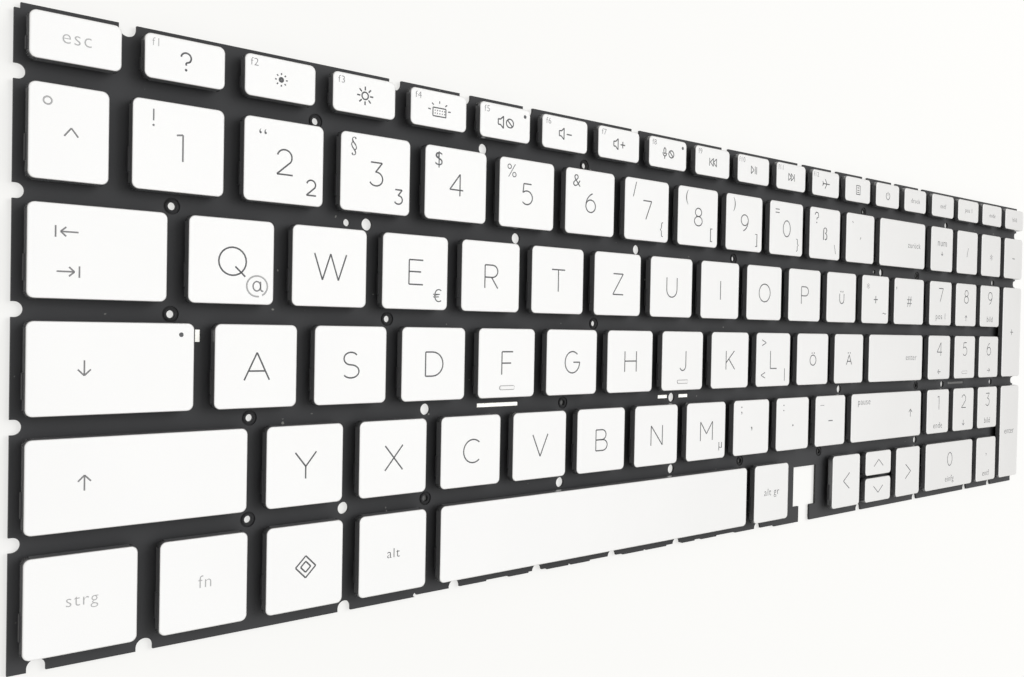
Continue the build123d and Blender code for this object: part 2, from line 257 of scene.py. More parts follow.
# Floor
floorLook = {
    "size": 6.0,
    "drop": 0.05,
    "colour": (0.9, 0.892, 0.872),
    "seen": (1.0, 0.998, 0.98),
    "share": 0.68,
}
bm = bmesh.new()
bmesh.ops.create_grid(bm, x_segments=1, y_segments=1, size=floorLook["size"] / 2)
bmesh.ops.translate(bm, vec=(0, 0, -floorLook["drop"] * mm), verts=bm.verts)
floorMesh = bpy.data.meshes.new("floor")
bm.to_mesh(floorMesh)
bm.free()
floor = bpy.data.objects.new("floor", floorMesh)
scene.collection.objects.link(floor)
paleFloor, tree, shader = newMaterial("paleFloor", Roughness=0.9, Specular_IOR_Level=0.1)
shader.inputs["Base Color"].default_value = (*floorLook["colour"], 1)
share = addNode(tree, "Math", {0: seenDirectly(tree), 1: floorLook["share"]}, operation="MULTIPLY")
glow = addNode(tree, "Emission", {"Color": (*floorLook["seen"], 1), "Strength": 1.0})
mixed = addNode(tree, "MixShader", {0: share.outputs[0], 1: shader.outputs[0], 2: glow.outputs[0]})
tree.links.new(mixed.outputs[0], tree.nodes["Material Output"].inputs["Surface"])
floorMesh.materials.append(paleFloor)
print("floor and light placed")


# Finishes
paint = {
    "dark": (0.925, 0.923, 0.915),
    "light": (0.965, 0.963, 0.957),
    "wall": (0.17, 0.171, 0.174),  # painted shade: the sides are coloured dark to stand in for the shade and dark reflections down them
    "wallEnd": 3.7,
    "topStart": 3.94,
    "wallGloss": 0.2,
    "topGloss": 0.36,
    "wallMetal": 0.2,
    "topMetal": 0.85,
    "flakes": 9000,
    "clouds": 45,
    "cloudShade": 0.985,
    "uneven": 0.03,
    "bump": {"strength": 0.05, "distance": 0.00002},
}
inkLook = {"grain": 5000, "darker": 0.86}
charcoalLook = {
    "grain": 2600,
    "clouds": 28,
    "spread": (0.9, 1.1),
    "dust": 620,
    "dustFrom": 0.79,
    "dustTo": 0.83,
    "speck": (0.22, 0.22, 0.2),
    "bump": {"strength": 0.12, "distance": 0.00003},
}
guideLook = {
    "paintedGlowColour": (1, 0.985, 0.93, 1),
    "dots": 1300,
    "stops": ((0.27, (0.5, 0.46, 0.3)), (0.33, (0.95, 0.94, 0.88)), (0.7, (0.97, 0.965, 0.93))),
}
paleBump = {"strength": 0.1, "distance": 0.00003}


def makeSilverPaint():
    material, tree, shader = newMaterial("silverPaint")
    flakes = objectNoise(tree, paint["flakes"], 1.0)
    clouds = objectNoise(tree, paint["clouds"], 3.0)
    flaked = colourRamp(tree, flakes, (0.3, paint["dark"]), (0.7, paint["light"]))
    shade = paint["cloudShade"]
    tint = colourRamp(tree, clouds, (0.35, (shade, shade, shade)), (0.65, (1.0, 1.0, 1.0)))
    place = addNode(tree, "TexCoord").outputs["Object"]
    height = addNode(tree, "SeparateXYZ", {"Vector": place}).outputs["Z"]
    rise = {"Value": height, "From Min": paint["wallEnd"] * mm, "From Max": paint["topStart"] * mm}
    abovePaintedShade = addNode(tree, "MapRange", rise, interpolation_type="SMOOTHSTEP").outputs["Result"]
    top = mixColours(tree, 1.0, flaked, tint, "MULTIPLY")
    # painted shade: below the rounded top edge the colour runs down to the dark wall colour
    tree.links.new(mixColours(tree, abovePaintedShade, paint["wall"], top), shader.inputs["Base Color"])
    levels = {"Value": abovePaintedShade, "To Min": paint["wallMetal"], "To Max": paint["topMetal"]}
    tree.links.new(addNode(tree, "MapRange", levels).outputs["Result"], shader.inputs["Metallic"])
    levels = {"Value": abovePaintedShade, "To Min": paint["wallGloss"], "To Max": paint["topGloss"]}
    gloss = addNode(tree, "MapRange", levels).outputs["Result"]
    levels = {"Value": clouds, "To Min": -paint["uneven"], "To Max": paint["uneven"]}
    uneven = addNode(tree, "MapRange", levels).outputs["Result"]
    rough = addNode(tree, "Math", {0: gloss, 1: uneven}, operation="ADD").outputs[0]
    tree.links.new(rough, shader.inputs["Roughness"])
    bumpFrom(tree, shader, flakes, **paint["bump"])
    return material


def makeInk(name, colour):
    material, tree, shader = newMaterial(name, Roughness=0.6, Specular_IOR_Level=0.3)
    grain = objectNoise(tree, inkLook["grain"], 2.0)
    darker = tuple(part * inkLook["darker"] for part in colour)
    ink = colourRamp(tree, grain, (0.3, darker), (0.7, colour))
    tree.links.new(ink, shader.inputs["Base Color"])
    return material


def makeCharcoal(name, colour, roughness):
    material, tree, shader = newMaterial(name, Roughness=roughness, Specular_IOR_Level=0.35)
    look = charcoalLook
    grain = objectNoise(tree, look["grain"], 3.0)
    clouds = objectNoise(tree, look["clouds"], 3.0)
    dust = objectNoise(tree, look["dust"], 1.0)
    darker, lighter = (tuple(part * share for part in colour) for share in look["spread"])
    base = colourRamp(tree, clouds, (0.3, darker), (0.7, lighter))
    specks = colourRamp(tree, dust, (look["dustFrom"], (0, 0, 0)), (look["dustTo"], look["speck"]))
    dusty = mixColours(tree, 1.0, base, specks, "ADD")
    tree.links.new(dusty, shader.inputs["Base Color"])
    bumpFrom(tree, shader, grain, **look["bump"])
    return material


def makeGuide(name, glow):
    # painted light: the strips are given a glow of their own, though nothing lights them
    material, tree, shader = newMaterial(name, Roughness=0.3, Specular_IOR_Level=0.5, Emission_Strength=glow)
    shader.inputs["Emission Color"].default_value = guideLook["paintedGlowColour"]
    dots = objectNoise(tree, guideLook["dots"], 1.0)
    tree.links.new(colourRamp(tree, dots, *guideLook["stops"]), shader.inputs["Base Color"])
    return material


def makePale(name, dark, light, roughness, scale):
    material, tree, shader = newMaterial(name, Roughness=roughness)
    grain = objectNoise(tree, scale, 2.0)
    tree.links.new(colourRamp(tree, grain, (0.3, dark), (0.7, light)), shader.inputs["Base Color"])
    bumpFrom(tree, shader, grain, **paleBump)
    return material


silverPaint = makeSilverPaint()
legendInk = makeInk("legendInk", (0.13, 0.133, 0.138))
paleInk = makeInk("paleInk", (0.27, 0.27, 0.275))
faintInk = makeInk("faintInk", (0.5, 0.5, 0.5))
membraneCharcoal = makeCharcoal("membraneCharcoal", (0.045, 0.0455, 0.0475), 0.62)
plateCharcoal = makeCharcoal("plateCharcoal", (0.016, 0.016, 0.017), 0.5)
scissorPlastic = makeCharcoal("scissorPlastic", (0.028, 0.028, 0.03), 0.4)
tabPlastic = makeCharcoal("tabPlastic", (0.06, 0.06, 0.062), 0.5)
stripFilm = makeGuide("stripFilm", 0.4)  # painted glow: an emission that brightens the strips against the shade round them
# The guide is dark between its strips: a mask film, and painted shade for the screw holes that end on it
maskAndShadeFilm = makePale("maskAndShadeFilm", (0.1, 0.1, 0.1), (0.16, 0.16, 0.155), 0.4, 900)
reflectorWhite = makePale("reflectorWhite", (0.84, 0.84, 0.82), (0.9, 0.9, 0.88), 0.55, 800)
domeRubber = makePale("domeRubber", (0.3, 0.3, 0.29), (0.36, 0.36, 0.35), 0.5, 1500)
wireSteel, tree, shader = newMaterial("wireSteel", Metallic=1.0, Roughness=0.3)
drawn = objectNoise(tree, 3000, 1.0)
wireTint = colourRamp(tree, drawn, (0.3, (0.5, 0.5, 0.5)), (0.7, (0.62, 0.62, 0.62)))
tree.links.new(wireTint, shader.inputs["Base Color"])

nodeFinishes = {
    "support_plate": plateCharcoal,
    "membrane_sheet": membraneCharcoal,
    # painted shade: the guide's dark finish shows at the foot of the covered screw holes
    "light_guide": maskAndShadeFilm,
    "reflector_film": reflectorWhite,
}
for nodeName, finish in nodeFinishes.items():
    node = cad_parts[nodeName]
    node.data.materials.clear()
    node.data.materials.append(finish)
print("finishes made")

# Key field: the same layout as the solids
field = {
    "left": -169.7,
    "right": 97.3,
    "padLeft": 101.5,
    "numberTop": 39.175,
    "rowPitch": 18.05,
    "keyPitch": 18.7,
    "keyDepth": 14.6,
    "bottomDepth": 15.5,
    "gap": 3.55,
    "rowGap": 3.45,
    "padPitch": 17.9,
    "padGap": 3.4,
    "functionDepth": 7.2,
    "functionCount": 16,
    "caretWidth": 11.6,
    "backspaceWidth": 27.45,
}
Key = namedtuple("Key", "name x y width depth")


def rowTop(row):
    return field["numberTop"] - row * field["rowPitch"]


def runOfKeys(left, top, depth, gap, namesAndWidths):
    made = []
    for name, width in namesAndWidths:
        made.append(Key(name, left + width / 2, top - depth / 2, width, depth))
        left += width + gap
    return made


def padKey(name, column, row, columns=1, rows=1, depth=None):
    width = columns * field["padPitch"] - field["padGap"]
    height = (depth or field["keyDepth"]) + (rows - 1) * field["rowPitch"]
    left = field["padLeft"] + column * field["padPitch"]
    return Key(name, left + width / 2, rowTop(row) - height / 2, width, height)


capForm = {
    "skirtBottom": 2.4,
    "top": 4.0,
    "flare": 0.12,
    "corner": 1.1,
    "cornerSteps": 6,
    "edge": 0.22,
    "edgeSteps": 3,
    "wall": 0.62,
    "roof": 0.65,
}

functionTop = rowTop(0) + field["rowGap"] + field["functionDepth"]
functionGaps = (field["functionCount"] - 1) * field["gap"]
functionWidth = (field["right"] - field["left"] - functionGaps) / field["functionCount"]
functionNames = "esc f1 f2 f3 f4 f5 f6 f7 f8 f9 f10 f11 f12 sums power print".split()
functionSizes = [(name, functionWidth) for name in functionNames]
functionDepth = field["functionDepth"]
functionKeys = runOfKeys(field["left"], functionTop, functionDepth, field["gap"], functionSizes)
padWidth = field["padPitch"] - field["padGap"]
padFunctionNames = "delete home end page".split()
functionSizes = [(name, padWidth) for name in padFunctionNames]
functionKeys += runOfKeys(field["padLeft"], functionTop, functionDepth, field["padGap"], functionSizes)
keyWidth = field["keyPitch"] - field["gap"]
digitNames = "1 2 3 4 5 6 7 8 9 0 sharpS acute".split()
numberSizes = [("caret", field["caretWidth"])] + [(n, keyWidth) for n in digitNames]
numberSizes += [("backspace", field["backspaceWidth"])]
numberKeys = runOfKeys(field["left"], rowTop(0), field["keyDepth"], field["gap"], numberSizes)
padTopNames = "numLock padSlash padStar padMinus".split()
padDigitRows = ((7, 8, 9), (4, 5, 6), (1, 2, 3))
padKeys = [padKey(name, column, 0) for column, name in enumerate(padTopNames)]
for row, numbers in enumerate(padDigitRows, 1):
    padKeys += [padKey(f"pad{number}", column, row) for column, number in enumerate(numbers)]
padKeys += [padKey("padPlus", 3, 1, rows=2), padKey("padEnter", 3, 3, rows=2, depth=field["bottomDepth"])]
padKeys += [padKey("pad0", 0, 4, columns=2, depth=field["bottomDepth"])]
padKeys += [padKey("padComma", 2, 4, depth=field["bottomDepth"])]


def movingKey(nodeName):
    lowest, highest = (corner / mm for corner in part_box(nodeName))
    middle, span = (lowest + highest) / 2, highest - lowest
    flare = capForm["flare"]
    return Key(nodeName[4:], middle.x, middle.y, span.x - 2 * flare, span.y - 2 * flare)


movingKeys = [movingKey(name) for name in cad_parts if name.startswith("key_")]

# Legends: thin strokes for letters, digits and signs, drawn in cap heights,
# and thinned type for the small words
legendForm = {
    "letter": 4.8,
    "digit": 4.4,
    "stroke": 0.29,
    "smallStroke": 0.25,
    "smallBelow": 2.6,
    "rise": 0.014,
    "bowStep": 15,
    "cornerTurn": 40,
    "typeThin": 0.012,
    "typeSpace": 1.12,
}


def bow(x, y, radiusX, radiusY, start, end):
    steps = max(2, round(abs(end - start) / legendForm["bowStep"]))
    angles = [math.radians(start + (end - start) * n / steps) for n in range(steps + 1)]
    return [(x + radiusX * math.cos(a), y + radiusY * math.sin(a)) for a in angles]


def disc(x, y, radius=0.025):
    return bow(x, y, radius, radius, 0, 360)


def box(left, bottom, wide, tall):
    right, top = left + wide, bottom + tall
    return [(left, bottom), (right, bottom), (right, top), (left, top), (left, bottom)]


ring = bow(0.5, 0.5, 0.51, 0.5, 0, 360)
aStrokes = [[(0, 0), (0.485, 1), (0.97, 0)], [(0.165, 0.33), (0.805, 0.33)]]
uStrokes = [[(0, 1), (0, 0.39), *bow(0.39, 0.39, 0.39, 0.39, 180, 360), (0.78, 1)]]
bowlTop = [(0, 0), (0, 1), (0.4, 1), *bow(0.4, 0.735, 0.3, 0.265, 90, -90), (0, 0.47)]
bStrokes = [
    [(0, 0), (0, 1), (0.4, 1), *bow(0.4, 0.76, 0.27, 0.24, 90, -90), (0, 0.52)],
    [(0, 0.52), (0.45, 0.52), *bow(0.45, 0.26, 0.31, 0.26, 90, -90), (0, 0)],
]
glyphs = {
    "A": aStrokes,
    "B": bStrokes,
    "C": [bow(0.5, 0.5, 0.5, 0.5, 48, 312)],
    "D": [[(0, 0), (0, 1), (0.35, 1), *bow(0.35, 0.5, 0.52, 0.5, 90, -90), (0, 0)]],
    "E": [[(0.68, 1), (0, 1), (0, 0), (0.68, 0)], [(0, 0.52), (0.58, 0.52)]],
    "F": [[(0.62, 1), (0, 1), (0, 0)], [(0, 0.5), (0.52, 0.5)]],
    "G": [[*bow(0.46, 0.5, 0.46, 0.5, 48, 360), (0.52, 0.5)]],
    "H": [[(0, 0), (0, 1)], [(0.81, 0), (0.81, 1)], [(0, 0.52), (0.81, 0.52)]],
    "I": [[(0, 0), (0, 1)]],
    "J": [[(0.47, 1), (0.47, 0.26), *bow(0.23, 0.26, 0.24, 0.26, 0, -150)]],
    "K": [[(0, 0), (0, 1)], [(0.7, 1), (0, 0.36)], [(0.23, 0.57), (0.75, 0)]],
    "L": [[(0, 1), (0, 0), (0.6, 0)]],
    "M": [[(0, 0), (0, 1), (0.49, 0.36), (0.98, 1), (0.98, 0)]],
    "N": [[(0, 0), (0, 1), (0.84, 0), (0.84, 1)]],
    "O": [ring],
    "P": [bowlTop],
    "Q": [ring, [(0.6, 0.32), (0.98, -0.03)]],
    "R": [bowlTop, [(0.36, 0.47), (0.71, 0)]],
    "S": [[*bow(0.36, 0.755, 0.31, 0.245, 35, 270), *bow(0.36, 0.255, 0.36, 0.255, 90, -145)]],
    "T": [[(0, 1), (0.81, 1)], [(0.405, 1), (0.405, 0)]],
    "U": uStrokes,
    "V": [[(0, 1), (0.45, 0), (0.9, 1)]],
    "W": [[(0, 1), (0.34, 0), (0.68, 1), (1.02, 0), (1.36, 1)]],
    "X": [[(0, 0), (0.83, 1)], [(0, 1), (0.83, 0)]],
    "Y": [[(0, 1), (0.435, 0.46), (0.87, 1)], [(0.435, 0.46), (0.435, 0)]],
    "Z": [[(0.02, 1), (0.69, 1), (0, 0), (0.71, 0)]],
    "Ä": aStrokes + [disc(0.3, 1.2), disc(0.67, 1.2)],
    "Ö": [ring, disc(0.32, 1.2), disc(0.68, 1.2)],
    "Ü": uStrokes + [disc(0.21, 1.2), disc(0.57, 1.2)],
    "1": [[(0, 0.96), (0.24, 1), (0.24, 0)]],
    "2": [[*bow(0.33, 0.69, 0.32, 0.31, 165, -35), (0, 0), (0.69, 0)]],
    "3": [[(0.05, 1), (0.62, 1), (0.3, 0.6), *bow(0.31, 0.3, 0.34, 0.3, 95, -150)]],
    "4": [[(0.57, 0), (0.57, 1), (0, 0.27), (0.75, 0.27)]],
    "5": [[(0.6, 1), (0.12, 1), (0.07, 0.56), *bow(0.32, 0.33, 0.35, 0.33, 125, -140)]],
    "6": [bow(0.34, 0.32, 0.34, 0.32, 0, 360), bow(0.66, 0.32, 0.66, 0.68, 180, 108)],
    "7": [[(0, 1), (0.66, 1), (0.22, 0)]],
    "8": [bow(0.34, 0.765, 0.27, 0.235, 0, 360), bow(0.34, 0.265, 0.34, 0.265, 0, 360)],
    "9": [bow(0.34, 0.68, 0.34, 0.32, 0, 360), bow(0.02, 0.68, 0.66, 0.68, 0, -72)],
    "0": [bow(0.37, 0.5, 0.37, 0.5, 0, 360)],
    "!": [[(0, 1), (0, 0.28)], disc(0, 0)],
    "degree": [ring],
    "caret": [[(0, 0), (0.78, 1), (1.56, 0)]],
    "arrowDown": [[(0.4, 1), (0.4, 0)], [(0, 0.4), (0.4, 0), (0.8, 0.4)]],
    "arrowUp": [[(0.4, 0), (0.4, 1)], [(0, 0.6), (0.4, 1), (0.8, 0.6)]],
    "arrowLeft": [[(1, 0.4), (0, 0.4)], [(0.4, 0.8), (0, 0.4), (0.4, 0)]],
    "arrowRight": [[(0, 0.4), (1, 0.4)], [(0.6, 0.8), (1, 0.4), (0.6, 0)]],
    "tabBack": [[(0, 0), (0, 1)], [(0.4, 0.5), (1.85, 0.5)], [(0.85, 0.9), (0.4, 0.5), (0.85, 0.1)]],
    "tabOn": [[(1.85, 0), (1.85, 1)], [(0, 0.5), (1.45, 0.5)], [(1.0, 0.9), (1.45, 0.5), (1.0, 0.1)]],
    "left": [[(0.68, 1), (0, 0.5), (0.68, 0)]],
    "right": [[(0, 1), (0.68, 0.5), (0, 0)]],
    "up": [[(0, 0), (1.28, 1), (2.56, 0)]],
    "down": [[(0, 1), (1.28, 0), (2.56, 1)]],
    "dot": [disc(0, 0.5, 0.26), disc(0, 0.5, 0.12)],
    "question": [[*bow(0.3, 0.71, 0.3, 0.29, 175, -55), (0.3, 0.42), (0.3, 0.27)], disc(0.3, 0)],
    "atRing": [bow(0.5, 0.5, 0.53, 0.5, -60, 280)],
    "atSign": [
        bow(0.42, 0.5, 0.42, 0.5, 0, 360),
        [(0.84, 1), (0.84, 0.25), *bow(1.05, 0.25, 0.21, 0.25, 180, 300)],
    ],
}


def sunRays(centre, inner, outer, count=8):
    rays = []
    for n in range(count):
        a = 2 * math.pi * n / count
        x, y = math.cos(a), math.sin(a)
        rays.append([(centre + inner * x, centre + inner * y), (centre + outer * x, centre + outer * y)])
    return rays


speaker = [[(0, 0.3), (0.22, 0.3), (0.5, 0.05), (0.5, 0.95), (0.22, 0.7), (0, 0.7), (0, 0.3)]]
slashedRing = [bow(1.12, 0.5, 0.34, 0.32, 0, 360), [(0.89, 0.73), (1.35, 0.27)]]
microphone = [
    bow(0.25, 0.72, 0.14, 0.26, 0, 360),
    bow(0.25, 0.55, 0.25, 0.3, 180, 360),
    [(0.25, 0.25), (0.25, 0)],
]
boardDots = [[(0.16 + 0.22 * n, y), (0.24 + 0.22 * n, y)] for n in range(5) for y in (0.22, 0.44)]
rayAngles = [math.radians(a) for a in (8, 48, 90, 132, 172)]
boardRays = [[(0.6 + r * math.cos(a), 0.38 + 0.75 * r * math.sin(a)) for r in (0.8, 1.05)] for a in rayAngles]
minusSign, plusUpright = [(0.78, 0.5), (1.32, 0.5)], [(1.05, 0.23), (1.05, 0.77)]
leftPointer = [(0.6, 1), (0, 0.5), (0.6, 0), (0.6, 1)]
rightPointer = [(0.6 - x, y) for x, y in leftPointer]
sumLines = [[(0.2, y), (0.6, y)] for y in (0.75, 0.48, 0.24)]


def moved(stroke, across):
    return [(x + across, y) for x, y in stroke]


smallRhomb = [(0.5, 0.25), (0.75, 0.5), (0.5, 0.75), (0.25, 0.5), (0.5, 0.25)]
largeRhomb = [(2 * x - 0.5, 2 * y - 0.5) for x, y in smallRhomb]
glyphs.update(
    sunDim=[bow(0.5, 0.5, 0.16, 0.16, 0, 360), bow(0.5, 0.5, 0.07, 0.07, 0, 360), *sunRays(0.5, 0.36, 0.5)],
    sunBright=[bow(0.5, 0.5, 0.22, 0.22, 0, 360), *sunRays(0.5, 0.33, 0.56)],
    keyLight=[box(0, 0, 1.2, 0.64), *boardDots, *boardRays],
    mute=speaker + slashedRing,
    softer=speaker + [minusSign],
    louder=speaker + [minusSign, plusUpright],
    microphoneOff=microphone + slashedRing,
    previous=[[(0, 0), (0, 1)], moved(leftPointer, 0.15), moved(leftPointer, 0.75)],
    play=[rightPointer, [(0.85, 0), (0.85, 1)], [(1.15, 0), (1.15, 1)]],
    next=[rightPointer, moved(rightPointer, 0.6), [(1.35, 0), (1.35, 1)]],
    wing=[[(0, 0.5), (1.3, 0.5)], [(0.45, 1), (0.8, 0.5), (0.45, 0)], [(0, 0.75), (0.15, 0.5), (0, 0.25)]],
    sums=[box(0, 0, 0.8, 1), *sumLines],
    power=[bow(0.45, 0.45, 0.45, 0.45, 120, 420), [(0.45, 0.5), (0.45, 1)]],
    lozenge=[largeRhomb, smallRhomb],
)
Mark = namedtuple("Mark", "kind what x y size ink")


def letter(what, x=0, y=0, size=None, ink="dark"):
    return Mark("strokes", what, x, y, size or legendForm["letter"], ink)


def word(what, x=0, y=0, size=2.6, ink="dark"):
    return Mark("type", what, x, y, size, ink)


digit = legendForm["digit"]
shifted = {"x": -4.4, "y": 4.6, "size": 4.1}
second = {"x": 5.1, "y": -4.2, "size": 3.9}
padRow = {"digit": 2.8, "word": -4.6, "arrow": 1.9, "size": 2.9}


def upper(what, size=shifted["size"], drop=0):
    return word(what, shifted["x"], shifted["y"] - drop, size)


def lower(what, size=second["size"]):
    return word(what, second["x"], second["y"], size)


def functionLegend(number, glyph, size):
    ink = "faint" if number == 1 else "pale"
    return [word(f"f{number}", -5.0, 2.3, 1.9, ink), letter(glyph, size=size)]


def padLegend(number, below=None):
    marks = [letter(str(number), 0, padRow["digit"], digit)]
    if below in glyphs:
        marks.append(letter(below, 0, padRow["word"], padRow["arrow"]))
    elif below:
        marks.append(word(below, 0, padRow["word"], padRow["size"]))
    return marks


statusDot = letter("dot", 5.2, 2.0, 1)
legends = {
    "esc": [word("esc", size=3.2, ink="faint")],
    "f1": functionLegend(1, "question", 2.8),
    "f2": functionLegend(2, "sunDim", 2.4),
    "f3": functionLegend(3, "sunBright", 3.1),
    "f4": functionLegend(4, "keyLight", 2.6),
    "f5": functionLegend(5, "mute", 2.8) + [statusDot],
    "f6": functionLegend(6, "softer", 2.8),
    "f7": functionLegend(7, "louder", 2.8),
    "f8": functionLegend(8, "microphoneOff", 2.7) + [statusDot],
    "f9": functionLegend(9, "previous", 2.0),
    "f10": functionLegend(10, "play", 2.0),
    "f11": functionLegend(11, "next", 2.0),
    "f12": functionLegend(12, "wing", 2.7),
    "sums": [letter("sums", size=2.6)],
    "power": [letter("power", size=2.4)],
    "print": [word("druck", size=2.2)],
    "delete": [word("entf", size=2.2)],
    "home": [word("pos 1", size=2.2)],
    "end": [word("ende", size=2.2)],
    "page": [word("bild", size=2.2)],
    "caret": [letter("degree", -3.2, 4.6, 1.15, "faint"), letter("caret", 0.2, 0.2, 1.3, "pale")],
    "1": [letter("1", size=digit, ink="pale"), letter("!", -4.3, 4.5, 2.6, "pale")],
    "2": [letter("2", size=digit), word("“", -4.2, 4.9, 4.3), letter("2", 5.2, -4.0, 2.75)],
    "3": [letter("3", size=digit), word("§", -4.9, 4.7, 3.9), letter("3", 5.0, -3.8, 2.75)],
    "4": [letter("4", size=digit), upper("$")],
    "5": [letter("5", size=digit), upper("%")],
    "6": [letter("6", size=digit), upper("&")],
    "7": [letter("7", size=digit), upper("/", 5.2), lower("{")],
    "8": [letter("8", size=digit), upper("("), lower("[")],
    "9": [letter("9", size=digit), upper(")"), lower("]")],
    "0": [letter("0", size=digit), upper("="), lower("}")],
    "sharpS": [word("ß", size=5.4), letter("question", -4.4, 4.4, 2.9), lower("\\")],
    "acute": [word("´", size=5.2), upper("`", 4.6)],
    "backspace": [word("zurück", 6.9, 0, 2.6)],
    "numLock": [word("num", 0, 1.8, 3.4), letter("arrowDown", 0, -1.4, 1.3)],
    "padSlash": [word("/", size=4.6)],
    "padStar": [word("*", 0, -0.6, 5.0)],
    "padMinus": [word("−", size=4.6)],
    "padPlus": [word("+", size=4.6)],
    "padEnter": [word("enter", size=3.2)],
    "padComma": [word(",", 0, 1.6, 4.8), word("entf", 0, -5.0, padRow["size"])],
    "pad0": [letter("0", 0, 1.9, digit), word("einfg", 0, -5.0, padRow["size"])],
    "pad1": padLegend(1, "ende"),
    "pad2": padLegend(2, "arrowDown"),
    "pad3": padLegend(3, "bild"),
    "pad4": padLegend(4, "arrowLeft"),
    "pad5": padLegend(5),
    "pad6": padLegend(6, "arrowRight"),
    "pad7": padLegend(7, "pos 1"),
    "pad8": padLegend(8, "arrowUp"),
    "pad9": padLegend(9, "bild"),
    "tab": [letter("tabBack", -4.9, 3.0, 1.78, "pale"), letter("tabOn", -4.7, -3.1, 1.78, "pale")],
    "q": [letter("Q"), letter("atRing", 4.5, -4.1, 3.6, "faint"), letter("atSign", 4.7, -4.1, 1.65, "pale")],
    "e": [letter("E"), word("€", 5.1, -4.4, 3.6)],
    "u_umlaut": [letter("Ü", 0, -0.3, 2.9)],
    "plus": [word("+", size=5.0), upper("*", drop=0.6), lower("~")],
    "hash": [word("#", 0, 0, 5.0), word("'", -8.0, 4.0, 4.0)],
    "caps_lock": [letter("arrowDown", -4.5, 0.1, 2.4, "pale"), letter("dot", 10.6, 5.4, 1)],
    "o_umlaut": [letter("Ö", 0, -0.3, 2.9)],
    "a_umlaut": [letter("Ä", 0, -0.3, 2.9)],
    "l": [letter("L"), upper(">"), word("<", -4.6, -4.2, 3.9), lower("|")],
    "enter": [word("enter", 9.0, 0, 2.8)],
    "left_shift": [letter("arrowUp", -9.1, 0.2, 2.4, "pale")],
    "m": [letter("M"), word("µ", 5.6, -4.2, 3.6)],
    "comma": [word(",", 0, -0.4, 5.2), upper(";")],
    "period": [word(".", 0, -0.4, 5.2), upper(":")],
    "minus": [word("−", 0, 0, 4.8), upper("_")],
    "right_shift": [letter("arrowUp", 13.9, 0.3, 2.5), word("pause", -13.7, 4.3, 2.8)],
    "control": [word("strg", size=2.9, ink="faint")],
    "fn": [word("fn", 0, 0.3, 3.1, "faint")],
    "system": [letter("lozenge", size=4.0)],
    "alt": [word("alt", size=2.7)],
    "alt_graph": [word("alt gr", size=2.9)],
    "arrow_left": [letter("left", size=4.7)],
    "arrow_right": [letter("right", size=4.7)],
    "arrow_up": [letter("up", size=2.1)],
    "arrow_down": [letter("down", size=2.1)],
}
for name in "w r t z u i o p a s d f g h j k y x c v b n".split():
    legends[name] = [letter(name.upper())]


def splitCorners(points):
    runs = [[points[0]]]
    for before, here, after in zip(points, points[1:], points[2:]):
        runs[-1].append(here)
        first, then = Vector(here) - Vector(before), Vector(after) - Vector(here)
        if first.length and then.length and first.angle(then) > math.radians(legendForm["cornerTurn"]):
            runs.append([here])
    runs[-1].append(points[-1])
    return runs


def strokesToMesh(mark):
    strokes = glyphs[mark.what]
    across = [x for stroke in strokes for x, y in stroke]
    middle = (min(across) + max(across)) / 2
    runs = []
    for stroke in strokes:
        for run in splitCorners(stroke):
            runs.append([((x - middle) * mark.size, (y - 0.5) * mark.size, 0) for x, y in run])
    isSmall = mark.size <= legendForm["smallBelow"]
    radius = legendForm["smallStroke" if isSmall else "stroke"] / 2
    mesh = tubeMesh(runs, radius, 1)
    mesh.transform(Matrix.Diagonal((1, 1, legendForm["rise"] / radius, 1)))
    return mesh


def typeToMesh(mark):
    curve = bpy.data.curves.new("type", "FONT")
    curve.body = mark.what
    curve.size = mark.size
    curve.space_character = legendForm["typeSpace"]
    curve.offset = -legendForm["typeThin"] * mark.size
    curve.extrude = legendForm["rise"]
    curve.resolution_u = 3
    mesh = curveToMesh(curve)
    spots = [v.co for v in mesh.vertices]
    middleX = (min(p.x for p in spots) + max(p.x for p in spots)) / 2
    middleY = (min(p.y for p in spots) + max(p.y for p in spots)) / 2
    mesh.transform(Matrix.Translation((-middleX, -middleY, 0)))
    return mesh


def addLegends(bm, key):
    for mark in legends.get(key.name, []):
        mesh = strokesToMesh(mark) if mark.kind == "strokes" else typeToMesh(mark)
        mesh.transform(Matrix.Translation((key.x + mark.x, key.y + mark.y, capForm["top"])))
        joinShape(bm, mesh, inkSlots[mark.ink])


# Caps: hollow, with flared sides, rounded corners and a rounded top edge
def capShape(key):
    bm = bmesh.new()
    flare, tall = capForm["flare"], capForm["top"] - capForm["skirtBottom"]
    wide, deep = key.width + 2 * flare, key.depth + 2 * flare
    bmesh.ops.create_cube(bm, size=1)
    bmesh.ops.scale(bm, vec=(wide, deep, tall), verts=bm.verts)
    topVerts = [v for v in bm.verts if v.co.z > 0]
    bmesh.ops.scale(bm, vec=(key.width / wide, key.depth / deep, 1), verts=topVerts)
    roundEdges(bm, uprightEdges(bm, tall), capForm["corner"], capForm["cornerSteps"], smooth=True)
    roundEdges(bm, list(topFace(bm).edges), capForm["edge"], capForm["edgeSteps"], smooth=True)
    bottom = min(bm.faces, key=lambda face: face.calc_center_median().z)
    bmesh.ops.inset_region(bm, faces=[bottom], thickness=capForm["wall"], use_even_offset=True)
    hollow = bmesh.ops.extrude_discrete_faces(bm, faces=[bottom])["faces"][0]
    bmesh.ops.translate(bm, vec=(0, 0, tall - capForm["roof"]), verts=hollow.verts)
    bmesh.ops.recalc_face_normals(bm, faces=bm.faces)
    middle = (capForm["top"] + capForm["skirtBottom"]) / 2
    bmesh.ops.translate(bm, vec=(key.x, key.y, middle), verts=bm.verts)
    return shapeToMesh(bm)


